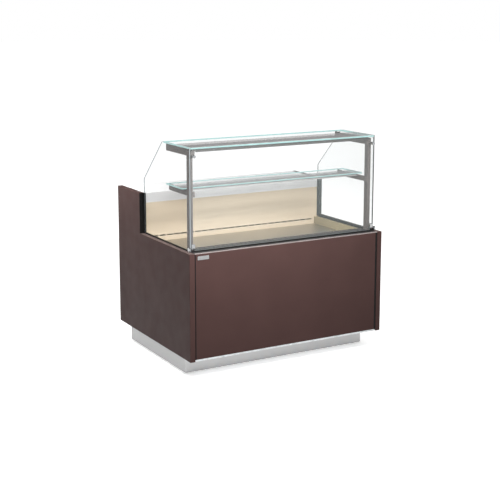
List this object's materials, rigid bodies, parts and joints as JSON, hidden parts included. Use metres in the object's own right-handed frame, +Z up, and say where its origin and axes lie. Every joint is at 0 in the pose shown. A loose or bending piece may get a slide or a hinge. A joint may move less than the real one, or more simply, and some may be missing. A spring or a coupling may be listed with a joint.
{
  "type": "refrigerated serve over counter",
  "caption": "Flat-glass refrigerated serve over counter with brown end panels, a recessed plinth, glass shelves on corner posts and a cold store on the staff side.",
  "frame": {"origin": "middle of the counter's footprint at floor level", "axes": "+X to the customer's right along the length, +Y towards the staff side, +Z up"},
  "size_m": [1.25, 0.95, 1.27],
  "materials": {
    "brown_board": "satin",
    "brown_paint": "satin",
    "pale_trim": "satin",
    "stainless": "brushed",
    "black_profile": "matte",
    "clear_glass": "polished",
    "post_paint": "satin",
    "lamp_paint": "satin",
    "diffuser": "satin",
    "tub_lining": "satin",
    "back_sheet": "satin",
    "worktop_sheet": "satin",
    "galvanised": "satin",
    "store_lining": "satin",
    "rear_paint": "satin",
    "chrome_fitting": "polished",
    "rubber": "matte",
    "coil_fins": "satin",
    "copper": "satin",
    "black_enamel": "gloss",
    "fan_plastic": "matte",
    "control_plastic": "matte",
    "key_plastic": "matte",
    "switch_plastic": "gloss"
  },
  "bodies": {
    "counter": {"end_panel_left": "brown_board", "end_panel_right": "brown_board", "front_panel": "brown_paint", "front_cap": "pale_trim", "plinth_skirt": "stainless", "return_air_grille": "stainless", "deck_plates": "stainless", "storage_shelf": "stainless", "glazing_sill": "black_profile", "glazing_channel_left": "black_profile", "glazing_channel_right": "black_profile", "side_glass_left": "clear_glass", "side_glass_right": "clear_glass", "top_shelf_glass": "clear_glass", "middle_shelf_glass": "clear_glass", "post_left": "post_paint", "post_right": "post_paint", "top_arm_left": "post_paint", "top_arm_right": "post_paint", "middle_arms": "post_paint", "top_lamp": "lamp_paint", "middle_lamp": "lamp_paint", "top_diffuser": "diffuser", "display_tub": "tub_lining", "back_panel": "back_sheet", "worktop": "worktop_sheet", "base_frame": "galvanised", "floor_pan": "galvanised", "evaporator_fan_frame": "galvanised", "condenser_fan_frame": "galvanised", "storage_box": "store_lining", "rear_fascia": "rear_paint", "service_panel": "rear_paint", "hinge_brackets": "chrome_fitting", "door_hinges": "chrome_fitting", "shelf_pads": "rubber", "cable_gland": "rubber", "evaporator_coil": "coil_fins", "condenser_coil": "coil_fins", "pipework": "copper", "compressor": "black_enamel", "control_panel": "control_plastic"},
    "front_glass": {"front_glass": "clear_glass", "hinge_shoes": "chrome_fitting"},
    "clamp_knob_left": {"clamp_knob_left": "chrome_fitting"},
    "clamp_knob_right": {"clamp_knob_right": "chrome_fitting"},
    "storage_door_left": {"storage_door_left": "store_lining", "door_gasket_left": "rubber"},
    "storage_door_right": {"storage_door_right": "store_lining", "door_gasket_right": "rubber"},
    "evaporator_fan": {"evaporator_fan": "fan_plastic"},
    "condenser_fan": {"condenser_fan": "fan_plastic"},
    "key_down": {"key_down": "key_plastic"},
    "key_up": {"key_up": "key_plastic"},
    "light_switch": {"light_switch": "switch_plastic"},
    "mains_switch": {"mains_switch": "switch_plastic"},
    "foot_front_left": {"foot_front_left": "chrome_fitting"},
    "foot_front_right": {"foot_front_right": "chrome_fitting"},
    "foot_rear_left": {"foot_rear_left": "chrome_fitting"},
    "foot_rear_right": {"foot_rear_right": "chrome_fitting"}
  },
  "joints": [
    {"name": "front_glass_tilt", "type": "hinge", "parent": "counter", "child": "front_glass", "pos_m": [0, -0.427, 0.728], "axis": [1, 0, 0], "range_deg": [0, 75]},
    {"name": "storage_door_left_swing", "type": "hinge", "parent": "counter", "child": "storage_door_left", "pos_m": [-0.579, 0.458, 0.48], "axis": [0, 0, 1], "range_deg": [0, 100]},
    {"name": "storage_door_right_swing", "type": "hinge", "parent": "counter", "child": "storage_door_right", "pos_m": [0.217, 0.458, 0.48], "axis": [0, 0, -1], "range_deg": [0, 100]},
    {"name": "evaporator_fan_spin", "type": "hinge", "parent": "counter", "child": "evaporator_fan", "pos_m": [0, -0.326, 0.585], "axis": [0, 1, 0], "continuous": true},
    {"name": "condenser_fan_spin", "type": "hinge", "parent": "counter", "child": "condenser_fan", "pos_m": [0.412, 0.352, 0.262], "axis": [0, 1, 0], "continuous": true},
    {"name": "clamp_knob_left_turn", "type": "hinge", "parent": "front_glass", "child": "clamp_knob_left", "pos_m": [-0.577, -0.43, 1.223], "axis": [0, -1, 0], "continuous": true},
    {"name": "clamp_knob_right_turn", "type": "hinge", "parent": "front_glass", "child": "clamp_knob_right", "pos_m": [0.577, -0.43, 1.223], "axis": [0, -1, 0], "continuous": true},
    {"name": "key_down_press", "type": "slide", "parent": "counter", "child": "key_down", "axis": [0, -1, 0], "range_m": [0, 0.001], "stiffness_N_per_m": 400, "springref_m": -0.0005},
    {"name": "key_up_press", "type": "slide", "parent": "counter", "child": "key_up", "axis": [0, -1, 0], "range_m": [0, 0.001], "stiffness_N_per_m": 400, "springref_m": -0.0005},
    {"name": "light_switch_rock", "type": "hinge", "parent": "counter", "child": "light_switch", "pos_m": [0.446, 0.466, 0.871], "axis": [-1, 0, 0], "range_deg": [0, 12]},
    {"name": "mains_switch_rock", "type": "hinge", "parent": "counter", "child": "mains_switch", "pos_m": [0.474, 0.466, 0.871], "axis": [-1, 0, 0], "range_deg": [0, 12]},
    {"name": "foot_front_left_turn", "type": "hinge", "parent": "counter", "child": "foot_front_left", "pos_m": [-0.545, -0.294, 0.05], "axis": [0, 0, 1], "continuous": true},
    {"name": "foot_front_right_turn", "type": "hinge", "parent": "counter", "child": "foot_front_right", "pos_m": [0.545, -0.294, 0.05], "axis": [0, 0, 1], "continuous": true},
    {"name": "foot_rear_left_turn", "type": "hinge", "parent": "counter", "child": "foot_rear_left", "pos_m": [-0.545, 0.357, 0.05], "axis": [0, 0, 1], "continuous": true},
    {"name": "foot_rear_right_turn", "type": "hinge", "parent": "counter", "child": "foot_rear_right", "pos_m": [0.545, 0.357, 0.05], "axis": [0, 0, 1], "continuous": true}
  ]
}
